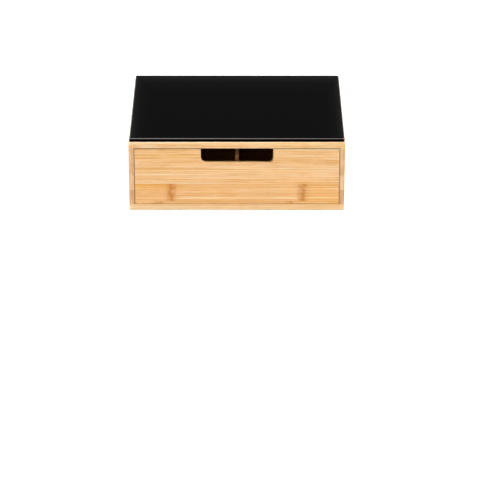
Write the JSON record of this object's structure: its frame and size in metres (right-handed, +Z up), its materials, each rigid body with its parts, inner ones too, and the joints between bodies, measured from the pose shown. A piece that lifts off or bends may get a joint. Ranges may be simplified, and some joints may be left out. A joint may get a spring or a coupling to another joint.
{
  "type": "coffee capsule stand",
  "caption": "Bamboo box under a black glass pane, with an inset drawer that slides out by a cut-out handle and is divided front to back for coffee capsules.",
  "frame": {"origin": "middle of the footprint, at the level that the feet stand on", "axes": "+X to the right seen from the front, +Y to the back, +Z up; the drawer opens along -Y"},
  "size_m": [0.3, 0.25, 0.1084],
  "materials": {
    "black_glass": "polished, painted black underneath",
    "clear_pad": "clear silicone",
    "bamboo_box": "satin clear lacquer, grain along the width",
    "bamboo_side": "satin clear lacquer, grain along the depth",
    "bamboo_front": "satin clear lacquer, grain along the width",
    "bamboo_wall": "satin clear lacquer, grain along the depth",
    "bamboo_inside": "satin clear lacquer, grain along the width",
    "dowel_wood": "bare wood",
    "foot_rubber": "clear silicone"
  },
  "bodies": {
    "carcass": {"glass_top": "black_glass", "glass_pads": "clear_pad", "top_board": "bamboo_box", "bottom_board": "bamboo_box", "left_side_panel": "bamboo_side", "right_side_panel": "bamboo_side", "back_panel": "bamboo_box", "carcass_dowels": "dowel_wood", "feet": "foot_rubber"},
    "drawer": {"drawer_front": "bamboo_front", "drawer_left_wall": "bamboo_wall", "drawer_right_wall": "bamboo_wall", "drawer_back_wall": "bamboo_inside", "drawer_floor": "bamboo_inside", "left_divider": "bamboo_wall", "centre_divider": "bamboo_wall", "right_divider": "bamboo_wall", "drawer_dowels": "dowel_wood"}
  },
  "joints": [
    {"name": "drawer_slide", "type": "slide", "parent": "carcass", "child": "drawer", "axis": [0, -1, 0], "range_m": [0, 0.17]}
  ]
}
